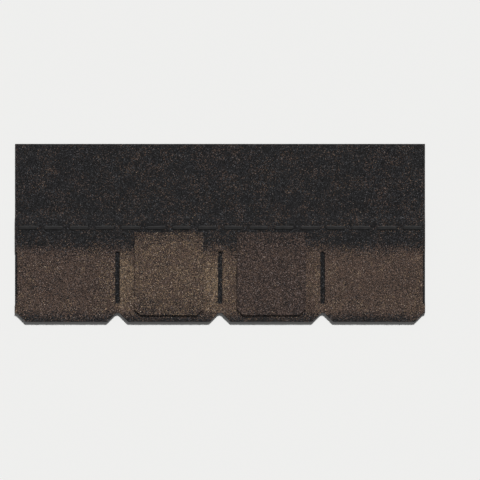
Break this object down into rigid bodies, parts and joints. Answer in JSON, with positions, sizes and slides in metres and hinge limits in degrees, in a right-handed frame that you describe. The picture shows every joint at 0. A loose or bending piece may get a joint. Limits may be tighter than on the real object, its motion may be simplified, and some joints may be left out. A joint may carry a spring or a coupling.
{
  "type": "laminated asphalt shingle",
  "caption": "Laminated asphalt strip shingle with slotted tabs, a notched butt edge, raised overlay tabs and a headlap with sealant beads.",
  "frame": {"origin": "on the underside, at the centre of the shingle's outline", "axes": "+X along the course, +Y up the roof from the butt edge to the headlap, +Z out of the roof, from the underside to the granules"},
  "size_m": [1.016, 0.4414, 0.009],
  "materials": {
    "face_granules": "matte",
    "overlay_granules": "matte",
    "backer_granules": "matte",
    "sealant": "satin"
  },
  "bodies": {
    "root": {"backer_sheet": "backer_granules", "face_sheet": "face_granules", "overlay_tab_left": "overlay_granules", "overlay_tab_right": "overlay_granules", "sealant_strip": "sealant"}
  },
  "joints": []
}
